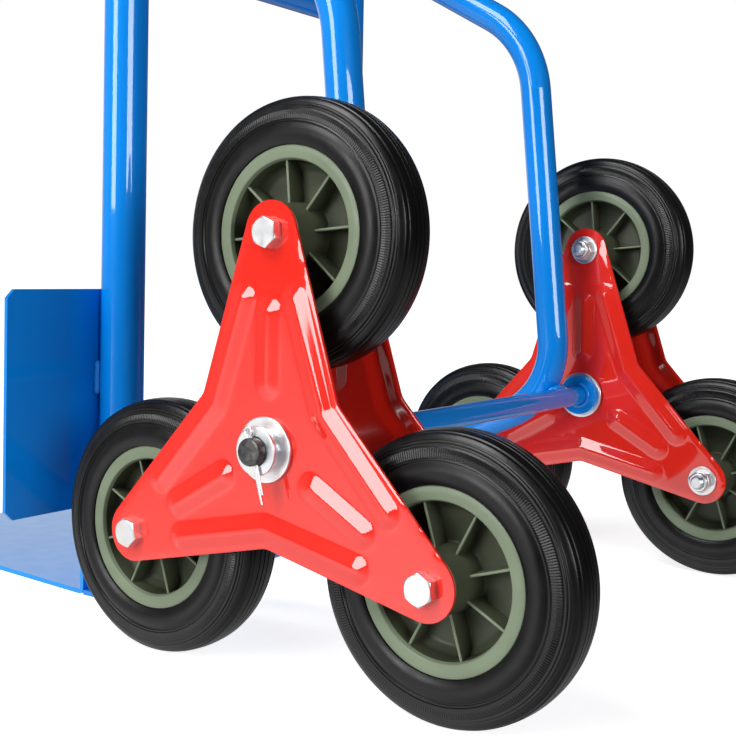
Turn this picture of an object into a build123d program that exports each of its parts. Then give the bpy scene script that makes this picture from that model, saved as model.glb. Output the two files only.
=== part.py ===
from build123d import *
import math
import os

os.makedirs("parts", exist_ok=True)

# Stair-climbing hand truck, in millimetres.
# +X points to the operator's left, -Y to the load, +Z up. The floor is z = 0.
# Everything is built on the +X (left) side and mirrored about the YZ plane.

# Wheels and stars
WHEEL_R = 80.0
BOLT_CIRCLE_R = 122.5
HUB_Z = WHEEL_R + BOLT_CIRCLE_R / 2
STAR_OUTER_X = 241.0
STAR_GAP = 60.0
PLATE_T = 2.5
ARM_END_R = 18.3
STAR_CORNER_R = 56.5
STAR_CORNER_FILLET = 12.0
ARM_ANGLES = {"top": 90, "front": 210, "rear": 330}

# Frame
FRAME_X = 137.0
UPRIGHT_R = 16.0
UPRIGHT_WALL = 2.0
BAR_R = 12.5
BAR_WALL = 1.8
SHEET_T = 3.5
GUARD_T = 3.0
WELD_GAP = 0.05
AXLE_R = 8.0
AXLE_END_X = 257.0
AXLE_CHAMFER = 1.0

# Depths, measured from the axle and then moved so that the bounding box is centred
TOE_FRONT = -514.0
REAR_END = BOLT_CIRCLE_R * math.cos(math.radians(30)) + WHEEL_R
AXLE_Y = -(TOE_FRONT + REAR_END) / 2
UPRIGHT_Y = AXLE_Y - 226.0
FRONT_FACE_Y = UPRIGHT_Y - UPRIGHT_R - WELD_GAP

# Upright and handle
HANDLE_BEND_Z = 1000.0
HANDLE_RISE = 30.0
HANDLE_LENGTH = 190.0
HANDLE_BEND_R = 90.0
GRIP_LENGTH = 125.0
GRIP_R = 18.8
GRIP_FLANGE_R = 23.0
GRIP_END_T = 5.0
CROSSBAR_ZS = {"lower": 480.5, "middle": 705.0, "upper": 930.0}

# Strut: a sloping run, a bend, an upright leg, a tight elbow at the axle, and a run to the foot
STRUT_TOP_Z = 549.5
STRUT_CORNERS = [(-34.0, 438.5), (-4.5, 143.6)]
STRUT_BENDS = [85.0, 64.5]
STRUT_FOOT_Z = 47.3

# Toe plate and foot plate
TOE_REAR_HALF = 158.0
TOE_FRONT_HALF = 136.0
TOE_FLANGE_Z = 62.0
TOE_BEND_R = 1.5
TOE_CORNER_R = 10.0
FOOT_REAR = -200.0
FOOT_FLANGE_Z = 25.0

# Wheel guard
GUARD_INNER_X = 129.0
GUARD_OUTER_X = 229.0
GUARD_LOW_Z = 65.5
GUARD_TOP_Z = 226.0
GUARD_CHAMFER = 6.0

# Hub, from the frame outwards
RUNNING_GAP = 0.06
FACE_GAP = 0.1
PRESS_GAP = 0.02
WASHER_GAP = 0.3
SLEEVE_R = 12.0
SLEEVE_PROUD_IN = 1.8
SLEEVE_PROUD_OUT = 7.4
HUB_BUSH_R = 10.0
HUB_BUSH_LENGTH = 22.0
COLLAR_R = 16.0
COLLAR_T = 4.0
INNER_WASHER_R = 18.8
INNER_WASHER_T = 2.0
OUTER_WASHER_R = 18.8
OUTER_WASHER_T = 2.4
RETAINER_R = 14.0
RETAINER_T = 2.7
PIN_R = 1.6
PIN_HOLE_R = 1.8
PIN_TILT = 16.0
PIN_X = 253.0
PIN_EYE_R = 3.4
PIN_EYE_HALF_T = 1.3
PIN_LEG_LENGTHS = [29.7, 24.5]

# Wheel bolts, M10
BOLT_R = 5.0
BOLT_HOLE_R = 5.25
HEX_FLATS = 16.0
HEAD_T = 6.4
NUT_T = 9.5
NUT_COLLAR_T = 3.0
NUT_COLLAR_R = 7.6
NUT_TURN = 11
BOLT_WASHER_R = 11.5
BOLT_WASHER_T = 2.0
BOLT_TIP = 4.0
HEAD_TURNS = {"top": 8, "front": 14, "rear": 4}
SPACER_R = 8.0
SPACER_BORE_R = 5.2

# Wheel
RIM_BARREL_IN = 42.4
RIM_BARREL_OUT = 46.0
RIM_FLANGE_R = 50.9
RIM_HALF = 17.0
RIM_FLANGE_T = 3.0
RIM_WEB_HALF = 1.5
RIM_BOSS_R = 17.0
RIM_BOSS_HALF = 29.0
RIM_BORE_R = 11.0
RIB_T = 2.4
RIB_HALF = 14.5
RIB_COUNT = 8
RIB_TURNS = {"top": 5, "front": 18, "rear": 17}
TYRE_GAP = 0.1
BUSH_HALF = 29.7
TYRE_SHOULDER = [(18.9, 60.0), (18.2, 69.0), (13.5, 76.8)]
TYRE_FOOT_HALF = 17.4

STAR_INNER_X = STAR_OUTER_X - STAR_GAP - 2 * PLATE_T
WHEEL_X = (STAR_OUTER_X + STAR_INNER_X) / 2
HEX_R = HEX_FLATS / math.sqrt(3)


def hub_plane(x):
    """Plane across the axle at x, with its own axes along +Y and +Z."""
    return Plane(origin=(x, AXLE_Y, HUB_Z), x_dir=(0, 1, 0), z_dir=(1, 0, 0))


def arm_point(name, radius=BOLT_CIRCLE_R):
    """Centre of one arm's bolt on a hub plane."""
    angle = math.radians(ARM_ANGLES[name])
    return (radius * math.cos(angle), radius * math.sin(angle))


def save(name, piece):
    piece.part.label = name
    export_step(piece.part, f"parts/{name}.step")


def save_pair(name, left):
    """Write a left piece and its mirror image."""
    save(f"left_{name}", left)
    with BuildPart() as right:
        mirror(left.part, about=Plane.YZ)
    save(f"right_{name}", right)


def save_both(name, left):
    """Write the left piece and its mirror image as two solids of one node."""
    with BuildPart() as both:
        add(left.part)
        mirror(left.part, about=Plane.YZ)
    save(name, both)


def ring(x, radius, bore, length, centres=((0, 0),)):
    """Round collars with a bore, from x outwards, on a hub plane."""
    with BuildPart() as collars:
        with BuildSketch(hub_plane(x)):
            with Locations(*centres):
                Circle(radius)
                Circle(bore, mode=Mode.SUBTRACT)
        extrude(amount=length)
    return collars


def bent_tube(points, bends, radius, wall):
    """Round tube along straight runs joined by tangent arcs."""
    with BuildPart() as tube:
        with BuildLine() as route:
            FilletPolyline(*points, radius=bends)
        with BuildSketch(Plane(origin=route.line @ 0, z_dir=route.line % 0)):
            Circle(radius)
            Circle(radius - wall, mode=Mode.SUBTRACT)
        sweep()
    return tube


def cope(height):
    """Cut away what lies inside the left upright's outer skin, inside a BuildPart block."""
    with Locations((FRAME_X, UPRIGHT_Y, height / 2)):
        Cylinder(UPRIGHT_R + WELD_GAP, height, mode=Mode.SUBTRACT)


# ---------------------------------------------------------------- frame

rise = math.radians(HANDLE_RISE)
handle_dir = Vector(0, math.cos(rise), math.sin(rise))
handle_corner = Vector(FRAME_X, UPRIGHT_Y, HANDLE_BEND_Z)
handle_end = handle_corner + handle_dir * HANDLE_LENGTH

left_upright = bent_tube(
    [(FRAME_X, UPRIGHT_Y, SHEET_T), handle_corner, handle_end],
    [HANDLE_BEND_R],
    UPRIGHT_R,
    UPRIGHT_WALL,
)
save_pair("upright", left_upright)

for height_name, bar_z in CROSSBAR_ZS.items():
    with BuildPart() as crossbar:
        with BuildSketch(Plane.YZ.offset(-FRAME_X)):
            with Locations((UPRIGHT_Y, bar_z)):
                Circle(BAR_R)
                Circle(BAR_R - BAR_WALL, mode=Mode.SUBTRACT)
        extrude(amount=2 * FRAME_X)
        with Locations((FRAME_X, UPRIGHT_Y, bar_z), (-FRAME_X, UPRIGHT_Y, bar_z)):
            Cylinder(UPRIGHT_R + WELD_GAP, 4 * BAR_R, mode=Mode.SUBTRACT)
    save(f"{height_name}_crossbar", crossbar)

strut_points = [(FRAME_X, UPRIGHT_Y, STRUT_TOP_Z)]
strut_points += [(FRAME_X, AXLE_Y + y, z) for y, z in STRUT_CORNERS]
strut_points += [(FRAME_X, UPRIGHT_Y, STRUT_FOOT_Z)]
strut_tube = bent_tube(strut_points, STRUT_BENDS, BAR_R, BAR_WALL)
with BuildPart() as left_strut:
    add(strut_tube.part)
    cope(2 * STRUT_TOP_Z)
save_pair("strut", left_strut)

# The toe plate is one sheet bent up at the back, narrower at the front.
with BuildPart() as toe_plate:
    with BuildSketch(Plane.YZ.offset(-TOE_REAR_HALF)):
        with BuildLine():
            toe_top = FilletPolyline(
                (AXLE_Y + TOE_FRONT, SHEET_T),
                (FRONT_FACE_Y - SHEET_T, SHEET_T),
                (FRONT_FACE_Y - SHEET_T, TOE_FLANGE_Z),
                radius=TOE_BEND_R,
            )
            toe_under = FilletPolyline(
                (AXLE_Y + TOE_FRONT, 0),
                (FRONT_FACE_Y, 0),
                (FRONT_FACE_Y, TOE_FLANGE_Z),
                radius=TOE_BEND_R + SHEET_T,
            )
            Line(toe_top @ 0, toe_under @ 0)
            Line(toe_top @ 1, toe_under @ 1)
        make_face()
    extrude(amount=2 * TOE_REAR_HALF)
    with BuildSketch(Plane.XY):
        with BuildLine():
            FilletPolyline(
                (TOE_REAR_HALF, FRONT_FACE_Y),
                (TOE_FRONT_HALF, AXLE_Y + TOE_FRONT),
                (-TOE_FRONT_HALF, AXLE_Y + TOE_FRONT),
                (-TOE_REAR_HALF, FRONT_FACE_Y),
                radius=TOE_CORNER_R,
            )
            Line((TOE_REAR_HALF, FRONT_FACE_Y), (-TOE_REAR_HALF, FRONT_FACE_Y))
        make_face()
    extrude(amount=TOE_FLANGE_Z, mode=Mode.INTERSECT)
save("toe_plate", toe_plate)

# The foot plate carries the uprights behind the toe plate, with a small flange at its back.
foot_rear_y = AXLE_Y + FOOT_REAR
with BuildPart() as foot_plate:
    with BuildSketch(Plane.YZ.offset(-TOE_REAR_HALF)):
        with BuildLine():
            foot_top = FilletPolyline(
                (FRONT_FACE_Y + WELD_GAP, SHEET_T),
                (foot_rear_y - SHEET_T, SHEET_T),
                (foot_rear_y - SHEET_T, FOOT_FLANGE_Z),
                radius=TOE_BEND_R,
            )
            foot_under = FilletPolyline(
                (FRONT_FACE_Y + WELD_GAP, 0),
                (foot_rear_y, 0),
                (foot_rear_y, FOOT_FLANGE_Z),
                radius=TOE_BEND_R + SHEET_T,
            )
            Line(foot_top @ 0, foot_under @ 0)
            Line(foot_top @ 1, foot_under @ 1)
        make_face()
    extrude(amount=2 * TOE_REAR_HALF)
save("foot_plate", foot_plate)

with BuildPart() as left_wheel_guard:
    with BuildSketch(Plane.XZ.offset(-FRONT_FACE_Y)):
        with Locations(((GUARD_INNER_X + GUARD_OUTER_X) / 2, (GUARD_LOW_Z + GUARD_TOP_Z) / 2)):
            guard = Rectangle(GUARD_OUTER_X - GUARD_INNER_X, GUARD_TOP_Z - GUARD_LOW_Z)
        chamfer(guard.vertices().group_by(Axis.X)[-1], GUARD_CHAMFER)
    extrude(amount=GUARD_T)
save_pair("wheel_guard", left_wheel_guard)

# Grips: a flanged sleeve with finger rings, closed at the end.
grip_plane = Plane(origin=handle_end, x_dir=(1, 0, 0), z_dir=-handle_dir)
with BuildPart() as left_handgrip:
    with BuildSketch(grip_plane):
        Circle(GRIP_R)
    extrude(amount=GRIP_LENGTH)
    with BuildSketch(grip_plane):
        Circle(GRIP_R)
    extrude(amount=-GRIP_END_T)
    fillet(left_handgrip.edges().sort_by(Axis(grip_plane.origin, grip_plane.z_dir))[0], GRIP_END_T - 1)
    with BuildSketch(grip_plane.offset(GRIP_LENGTH - GRIP_END_T)):
        Circle(GRIP_FLANGE_R)
    extrude(amount=GRIP_END_T)
    with BuildSketch(grip_plane):
        Circle(UPRIGHT_R + WELD_GAP)
    extrude(amount=GRIP_LENGTH + 1, mode=Mode.SUBTRACT)
save_pair("handgrip", left_handgrip)

# ---------------------------------------------------------------- axle and what keeps the stars on it

with BuildPart() as axle:
    with BuildSketch(hub_plane(-AXLE_END_X)):
        Circle(AXLE_R)
    extrude(amount=2 * AXLE_END_X)
    chamfer(axle.edges().filter_by(GeomType.CIRCLE), AXLE_CHAMFER)
    for pin_x in (-PIN_X, PIN_X):
        with BuildSketch(Plane((pin_x, AXLE_Y, HUB_Z)).rotated((PIN_TILT, 0, 0)).offset(-2 * AXLE_R)):
            Circle(PIN_HOLE_R)
        extrude(amount=4 * AXLE_R, mode=Mode.SUBTRACT)
save("axle", axle)

sleeve_in_x = STAR_INNER_X - SLEEVE_PROUD_IN
inner_washer_x = sleeve_in_x - FACE_GAP - INNER_WASHER_T
collar_x = inner_washer_x - FACE_GAP - COLLAR_T
sleeve_out_x = STAR_OUTER_X + SLEEVE_PROUD_OUT
retainer_x = sleeve_out_x + FACE_GAP

axle_collars = ring(collar_x, COLLAR_R, AXLE_R + WELD_GAP, COLLAR_T)
save_both("axle_collars", axle_collars)
inner_washers = ring(inner_washer_x, INNER_WASHER_R, AXLE_R + WASHER_GAP, INNER_WASHER_T)
save_both("inner_hub_washers", inner_washers)
retainers = ring(retainer_x, RETAINER_R, AXLE_R + WASHER_GAP, RETAINER_T)
save_both("retaining_washers", retainers)

# Split pin: two half-round legs under an eye, pushed down through the axle.
pin_plane = Plane((PIN_X, AXLE_Y, HUB_Z)).rotated((PIN_TILT, 0, 0))
with BuildPart() as split_pin:
    for side, leg_length in zip((-1, 1), PIN_LEG_LENGTHS):
        with BuildSketch(pin_plane.offset(-leg_length)):
            Circle(PIN_R)
            with Locations((0, -side * PIN_R)):
                Rectangle(4 * PIN_R, 2 * PIN_R, mode=Mode.SUBTRACT)
        extrude(amount=leg_length + AXLE_R + 1)
    with BuildSketch(Plane(pin_plane.offset(AXLE_R + PIN_EYE_R).origin, z_dir=(1, 0, 0))):
        Circle(PIN_EYE_R)
        Circle(PIN_EYE_R - PIN_R, mode=Mode.SUBTRACT)
    extrude(amount=PIN_EYE_HALF_T, both=True)
save_both("split_pins", split_pin)

# ---------------------------------------------------------------- stars

hub_corner = STAR_CORNER_R * math.cos(math.radians(30))
hub_corner_low = STAR_CORNER_R * math.sin(math.radians(30))


def star_plate(x):
    """Three-armed pressed plate from x to x + PLATE_T."""
    with BuildPart() as plate:
        with BuildSketch(hub_plane(x)) as outline:
            with BuildSketch(mode=Mode.PRIVATE) as arm:
                with BuildLine():
                    CenterArc((0, BOLT_CIRCLE_R), ARM_END_R, 0, 360)
                    Polyline((hub_corner, hub_corner_low), (-hub_corner, hub_corner_low), (0, 0), close=True)
                make_hull()
            with PolarLocations(0, 3):
                add(arm.sketch)
            inner_corners = [
                vertex
                for vertex in outline.vertices()
                if abs((Vector(vertex) - hub_plane(x).origin).length - STAR_CORNER_R) < 1
            ]
            fillet(inner_corners, STAR_CORNER_FILLET)
            Circle(SLEEVE_R + WELD_GAP, mode=Mode.SUBTRACT)
            with Locations(*[arm_point(name) for name in ARM_ANGLES]):
                Circle(BOLT_HOLE_R, mode=Mode.SUBTRACT)
        extrude(amount=PLATE_T)
    return plate


save_pair("outer_star_plate", star_plate(STAR_OUTER_X - PLATE_T))
save_pair("inner_star_plate", star_plate(STAR_INNER_X))

sleeve_length = sleeve_out_x - sleeve_in_x
save_pair("hub_sleeve", ring(sleeve_in_x, SLEEVE_R, HUB_BUSH_R, sleeve_length))
outer_washer = ring(STAR_OUTER_X + FACE_GAP, OUTER_WASHER_R, SLEEVE_R + WELD_GAP, OUTER_WASHER_T)
save_pair("outer_hub_washer", outer_washer)

with BuildPart() as hub_bushes:
    for bush_x in (sleeve_in_x, sleeve_out_x - HUB_BUSH_LENGTH):
        with BuildSketch(hub_plane(bush_x)):
            Circle(HUB_BUSH_R - PRESS_GAP)
            Circle(AXLE_R + RUNNING_GAP, mode=Mode.SUBTRACT)
        extrude(amount=HUB_BUSH_LENGTH)
save_pair("hub_bushes", hub_bushes)

arm_centres = [arm_point(name) for name in ARM_ANGLES]
spacer_x = STAR_INNER_X + PLATE_T + PRESS_GAP
spacer_length = STAR_GAP - 2 * PRESS_GAP
save_pair("spacer_tubes", ring(spacer_x, SPACER_R, SPACER_BORE_R, spacer_length, arm_centres))
washer_x = STAR_INNER_X - BOLT_WASHER_T
save_pair("bolt_washers", ring(washer_x, BOLT_WASHER_R, BOLT_R + WASHER_GAP, BOLT_WASHER_T, arm_centres))

nut_x = washer_x - NUT_T
tip_x = nut_x - BOLT_TIP
with BuildPart() as wheel_bolts:
    for name in ARM_ANGLES:
        with BuildSketch(hub_plane(STAR_OUTER_X)):
            with Locations(arm_point(name)):
                RegularPolygon(HEX_R, 6, rotation=HEAD_TURNS[name])
        extrude(amount=HEAD_T)
        with BuildSketch(hub_plane(tip_x)):
            with Locations(arm_point(name)):
                Circle(BOLT_R)
        extrude(amount=STAR_OUTER_X - tip_x)
save_pair("wheel_bolts", wheel_bolts)

# Lock nuts: a hexagon with the round nylon collar at its free end.
with BuildPart() as lock_nuts:
    for name in ARM_ANGLES:
        with BuildSketch(hub_plane(nut_x + NUT_COLLAR_T)):
            with Locations(arm_point(name)):
                RegularPolygon(HEX_R, 6, rotation=HEAD_TURNS[name] + NUT_TURN)
        extrude(amount=NUT_T - NUT_COLLAR_T)
        with BuildSketch(hub_plane(nut_x)):
            with Locations(arm_point(name)):
                Circle(NUT_COLLAR_R)
        extrude(amount=NUT_COLLAR_T)
        with BuildSketch(hub_plane(nut_x)):
            with Locations(arm_point(name)):
                Circle(BOLT_R + WELD_GAP)
        extrude(amount=NUT_T, mode=Mode.SUBTRACT)
save_pair("lock_nuts", lock_nuts)

# ---------------------------------------------------------------- wheels


def wheel_axis(name):
    """Axis of one wheel, along +X."""
    y, z = arm_point(name)
    return Axis((WHEEL_X, AXLE_Y + y, HUB_Z + z), (1, 0, 0))


def wheel_plane(name, x):
    """Plane across one wheel at x from its middle."""
    axis = wheel_axis(name)
    return Plane(axis.position + Vector(x, 0, 0), x_dir=(0, 1, 0), z_dir=(1, 0, 0))


def section_plane(name):
    """Plane through one wheel's axis, for turned profiles: across, then outwards."""
    return Plane(wheel_axis(name).position, x_dir=(1, 0, 0), z_dir=(0, -1, 0))


def make_rim(name):
    """Moulded rim: channel for the tyre, web, ribs on both sides, and hub boss."""
    with BuildPart() as rim:
        with BuildSketch(section_plane(name)):
            with BuildLine():
                Polyline(
                    (RIM_HALF, RIM_BARREL_IN),
                    (RIM_HALF, RIM_FLANGE_R),
                    (RIM_HALF - RIM_FLANGE_T, RIM_FLANGE_R),
                    (RIM_HALF - RIM_FLANGE_T, RIM_BARREL_OUT),
                    (-RIM_HALF + RIM_FLANGE_T, RIM_BARREL_OUT),
                    (-RIM_HALF + RIM_FLANGE_T, RIM_FLANGE_R),
                    (-RIM_HALF, RIM_FLANGE_R),
                    (-RIM_HALF, RIM_BARREL_IN),
                    close=True,
                )
            make_face()
        revolve(axis=wheel_axis(name))
        with BuildSketch(wheel_plane(name, -RIM_WEB_HALF)):
            Circle(RIM_BARREL_IN + 1)
        extrude(amount=2 * RIM_WEB_HALF)
        with BuildSketch(wheel_plane(name, -RIM_BOSS_HALF)):
            Circle(RIM_BOSS_R)
        extrude(amount=2 * RIM_BOSS_HALF)
        with BuildSketch(wheel_plane(name, -RIB_HALF)):
            with PolarLocations((RIM_BARREL_IN + RIM_BOSS_R) / 2, RIB_COUNT, start_angle=90 + RIB_TURNS[name]):
                Rectangle(RIM_BARREL_IN - RIM_BOSS_R + 4, RIB_T)
        extrude(amount=2 * RIB_HALF)
        with BuildSketch(wheel_plane(name, -RIM_BOSS_HALF)):
            Circle(RIM_BORE_R)
        extrude(amount=2 * RIM_BOSS_HALF, mode=Mode.SUBTRACT)
    return rim


def make_tyre(name):
    """Solid rubber tyre seated in the rim's channel."""
    seat_half = RIM_HALF - RIM_FLANGE_T - TYRE_GAP
    flange_top = RIM_FLANGE_R + TYRE_GAP
    other_shoulder = [(-x, radius) for x, radius in reversed(TYRE_SHOULDER)]
    with BuildPart() as tyre:
        with BuildSketch(section_plane(name)):
            with BuildLine():
                Polyline(
                    (-TYRE_FOOT_HALF, flange_top),
                    (-seat_half, flange_top),
                    (-seat_half, RIM_BARREL_OUT + TYRE_GAP),
                    (seat_half, RIM_BARREL_OUT + TYRE_GAP),
                    (seat_half, flange_top),
                    (TYRE_FOOT_HALF, flange_top),
                )
                Spline((TYRE_FOOT_HALF, flange_top), *TYRE_SHOULDER, (0, WHEEL_R),
                       *other_shoulder, (-TYRE_FOOT_HALF, flange_top))
            make_face()
        revolve(axis=wheel_axis(name))
    return tyre


for arm_name in ARM_ANGLES:
    save_pair(f"{arm_name}_tyre", make_tyre(arm_name))
    save_pair(f"{arm_name}_rim", make_rim(arm_name))
    with BuildPart() as wheel_bush:
        with BuildSketch(wheel_plane(arm_name, -BUSH_HALF)):
            Circle(RIM_BORE_R - PRESS_GAP)
            Circle(SPACER_R + RUNNING_GAP, mode=Mode.SUBTRACT)
        extrude(amount=2 * BUSH_HALF)
    save_pair(f"{arm_name}_bush", wheel_bush)
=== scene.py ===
"""Looks of the stair-climbing hand truck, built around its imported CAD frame. Metres, +Z up."""
import math

import bpy
from mathutils import Matrix, Vector
from mathutils.geometry import delaunay_2d_cdt


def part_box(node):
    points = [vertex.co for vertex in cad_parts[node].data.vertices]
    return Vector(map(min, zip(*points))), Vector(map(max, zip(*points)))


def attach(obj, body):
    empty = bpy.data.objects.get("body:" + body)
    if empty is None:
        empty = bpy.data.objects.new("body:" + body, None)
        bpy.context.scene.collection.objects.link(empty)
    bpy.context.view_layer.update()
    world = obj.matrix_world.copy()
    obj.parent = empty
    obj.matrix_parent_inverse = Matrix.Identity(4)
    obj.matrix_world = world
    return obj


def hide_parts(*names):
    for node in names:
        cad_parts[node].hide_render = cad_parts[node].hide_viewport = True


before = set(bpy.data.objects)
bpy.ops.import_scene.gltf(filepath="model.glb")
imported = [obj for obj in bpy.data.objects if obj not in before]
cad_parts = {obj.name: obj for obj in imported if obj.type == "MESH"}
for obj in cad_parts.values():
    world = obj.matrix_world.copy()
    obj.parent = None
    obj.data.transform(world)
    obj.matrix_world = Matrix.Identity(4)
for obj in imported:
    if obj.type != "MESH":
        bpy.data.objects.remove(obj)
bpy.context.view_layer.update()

MM = 0.001
SIDES = ("left", "right")
ARM_ANGLES = {"top": 90, "front": 210, "rear": 330}


def box_middle(node):
    low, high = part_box(node)
    return (low + high) / 2


HUB = Vector((0, *box_middle("axle").yz))

# ---------------------------------------------------------------- materials


class Look:
    """A procedural material and the short-hand for wiring its nodes."""

    def __init__(self, name, colour, roughness, metallic=0.0):
        self.material = bpy.data.materials.new(name)
        self.material.use_nodes = True
        self.nodes = self.material.node_tree.nodes
        self.links = self.material.node_tree.links
        self.shader = self.nodes["Principled BSDF"]
        self.set("Base Color", (*colour, 1))
        self.set("Roughness", roughness)
        self.set("Metallic", metallic)
        self.place = self.nodes.new("ShaderNodeTexCoord").outputs["Object"]
        self.bump_out = None

    def set(self, socket, value):
        self.shader.inputs[socket].default_value = value

    def noise(self, scale, detail=3.0, stretch=(1, 1, 1)):
        """Noise whose features are about 1/scale metres across, finer along stretched axes."""
        mapping = self.nodes.new("ShaderNodeMapping")
        mapping.inputs["Scale"].default_value = stretch
        self.links.new(self.place, mapping.inputs["Vector"])
        texture = self.nodes.new("ShaderNodeTexNoise")
        texture.inputs["Scale"].default_value = scale
        texture.inputs["Detail"].default_value = detail
        self.links.new(mapping.outputs["Vector"], texture.inputs["Vector"])
        return texture.outputs["Fac"]

    def ramp(self, value, stops):
        """Colour ramp through (position, colour) stops."""
        node = self.nodes.new("ShaderNodeValToRGB")
        elements = node.color_ramp.elements
        while len(elements) < len(stops):
            elements.new(0.5)
        for element, (position, colour) in zip(elements, stops):
            element.position = position
            element.color = (*colour, 1)
        self.links.new(value, node.inputs["Fac"])
        return node.outputs["Color"]

    def span(self, value, low, high, to_low, to_high):
        """Map value from low..high to to_low..to_high, clamped."""
        node = self.nodes.new("ShaderNodeMapRange")
        for socket, number in zip(("From Min", "From Max", "To Min", "To Max"), (low, high, to_low, to_high)):
            node.inputs[socket].default_value = number
        self.links.new(value, node.inputs["Value"])
        return node.outputs["Result"]

    def colour_from(self, value, stops):
        self.links.new(self.ramp(value, stops), self.shader.inputs["Base Color"])

    def rough_from(self, value, low, high, to_low, to_high):
        self.links.new(self.span(value, low, high, to_low, to_high), self.shader.inputs["Roughness"])

    def bump(self, value, height, strength=1.0):
        """Add a bump of the given height in metres, on top of those added before."""
        node = self.nodes.new("ShaderNodeBump")
        node.inputs["Distance"].default_value = height
        node.inputs["Strength"].default_value = strength
        self.links.new(value, node.inputs["Height"])
        if self.bump_out:
            self.links.new(self.bump_out, node.inputs["Normal"])
        self.bump_out = node.outputs["Normal"]
        self.links.new(self.bump_out, self.shader.inputs["Normal"])


def paint(name, colour, deep, coat_ior=1.5):
    """Baked gloss paint: slight shade variation, orange peel and a few dust specks under a coat."""
    look = Look(name, colour, 0.42)
    look.set("Specular IOR Level", 0.08)
    look.set("Coat Weight", 1.0)
    look.set("Coat Roughness", 0.035)
    look.set("Coat IOR", coat_ior)
    look.colour_from(look.noise(7, 3), [(0.3, deep), (0.7, colour)])
    look.rough_from(look.noise(60, 3), 0.35, 0.7, 0.36, 0.5)
    look.bump(look.noise(260, 1), 0.00003, 0.35)
    look.bump(look.span(look.noise(150, 1), 0.78, 0.83, 0, 1), 0.00008, 0.5)
    return look.material


def zinc(name="zinc_plated_steel"):
    """Bright zinc plate with a faint blue and straw tint and fine handling marks."""
    look = Look(name, (0.72, 0.74, 0.76), 0.28, 1.0)
    tints = [(0.3, (0.74, 0.79, 0.83)), (0.5, (0.86, 0.87, 0.88)), (0.72, (0.84, 0.82, 0.79))]
    look.colour_from(look.noise(60, 3), tints)
    look.rough_from(look.noise(200, 3), 0.3, 0.75, 0.30, 0.42)
    look.bump(look.noise(700, 2), 0.00002, 0.25)
    return look.material


def blackened_steel():
    look = Look("blackened_steel", (0.09, 0.09, 0.09), 0.42, 0.85)
    look.colour_from(look.noise(260, 4), [(0.35, (0.05, 0.055, 0.06)), (0.7, (0.16, 0.15, 0.145))])
    look.rough_from(look.noise(500, 4), 0.3, 0.7, 0.3, 0.55)
    look.bump(look.noise(1100, 3), 0.00006, 0.5)
    return look.material


def tyre_rubber(name, smooth, dull, grain, gloss):
    """Moulded black rubber with a fine grain. smooth and dull bound the roughness, gloss is its strength."""
    look = Look(name, (0.008, 0.008, 0.008), 0.4)
    look.set("Specular IOR Level", gloss)
    look.colour_from(look.noise(35, 5), [(0.3, (0.002, 0.002, 0.0024)), (0.7, (0.005, 0.0048, 0.005))])
    look.rough_from(look.noise(90, 5), 0.3, 0.7, smooth, dull)
    look.bump(look.noise(1500, 3), grain, 0.5)
    return look.material


def rim_plastic(name, colour):
    """Moulded polypropylene with faint flow marks."""
    look = Look(name, colour, 0.42)
    look.set("Specular IOR Level", 0.25)
    pale = tuple(c * 1.12 for c in colour)
    deep = tuple(c * 0.88 for c in colour)
    look.colour_from(look.noise(14, 4, (1, 1, 2.5)), [(0.3, deep), (0.7, pale)])
    look.rough_from(look.noise(120, 4), 0.3, 0.7, 0.3, 0.46)
    look.bump(look.noise(700, 3), 0.00004, 0.5)
    return look.material


def bush_plastic():
    look = Look("bush_plastic", (0.05, 0.05, 0.05), 0.4)
    look.colour_from(look.noise(80, 3), [(0.3, (0.04, 0.04, 0.042)), (0.7, (0.07, 0.07, 0.07))])
    look.bump(look.noise(900, 2), 0.00003, 0.5)
    return look.material


def grip_rubber():
    look = Look("grip_rubber", (0.03, 0.03, 0.03), 0.5)
    look.set("Sheen Weight", 0.1)
    look.colour_from(look.noise(50, 4), [(0.3, (0.022, 0.022, 0.022)), (0.7, (0.04, 0.039, 0.038))])
    look.rough_from(look.noise(150, 4), 0.3, 0.7, 0.42, 0.6)
    look.bump(look.noise(1300, 3), 0.00008, 0.6)
    return look.material


def floor_paint():
    """White studio floor that runs out into the white surround with distance from the object."""
    look = Look("studio_floor", (0.86, 0.86, 0.86), 0.6)
    look.set("Specular IOR Level", 0.1)
    look.colour_from(look.noise(2, 2), [(0.3, (0.85, 0.85, 0.85)), (0.7, (0.87, 0.87, 0.87))])
    look.set("Emission Color", (1, 1, 1, 1))
    reach = look.nodes.new("ShaderNodeVectorMath")
    reach.operation = "LENGTH"
    look.links.new(look.place, reach.inputs[0])
    glow = look.span(reach.outputs["Value"], 0.5, 2.2, 0.80, 1.0)
    look.links.new(glow, look.shader.inputs["Emission Strength"])
    return look.material


FRAME_PAINT = paint("frame_paint", (0.0, 0.245, 0.80), (0.0, 0.225, 0.75))
# Lighter copy of the frame paint for the toe plate: painted light, standing in for brighter light on its top
TOE_PAINTED_LIGHT = paint("toe_plate_painted_light", (0.0, 0.31, 0.88), (0.0, 0.29, 0.84))
STAR_PAINT = paint("star_paint", (0.82, 0.022, 0.011), (0.77, 0.018, 0.009), 1.6)
ZINC = zinc()
BLACKENED = blackened_steel()
TYRE = tyre_rubber("tyre_side", 0.30, 0.42, 0.00005, 0.28)
TREAD = tyre_rubber("tyre_tread", 0.26, 0.36, 0.00002, 0.36)
RIM = rim_plastic("rim_plastic", (0.180, 0.222, 0.148))
# Darker copy of the rim plastic for the faces deep inside the rim: painted shade in its recesses, the same
# plastic as the ring
RIM_PAINTED_SHADE = rim_plastic("rim_plastic_painted_shade", (0.062, 0.070, 0.043))
BUSH = bush_plastic()
GRIP = grip_rubber()
FLOOR = floor_paint()

# ---------------------------------------------------------------- mesh helpers


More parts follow.
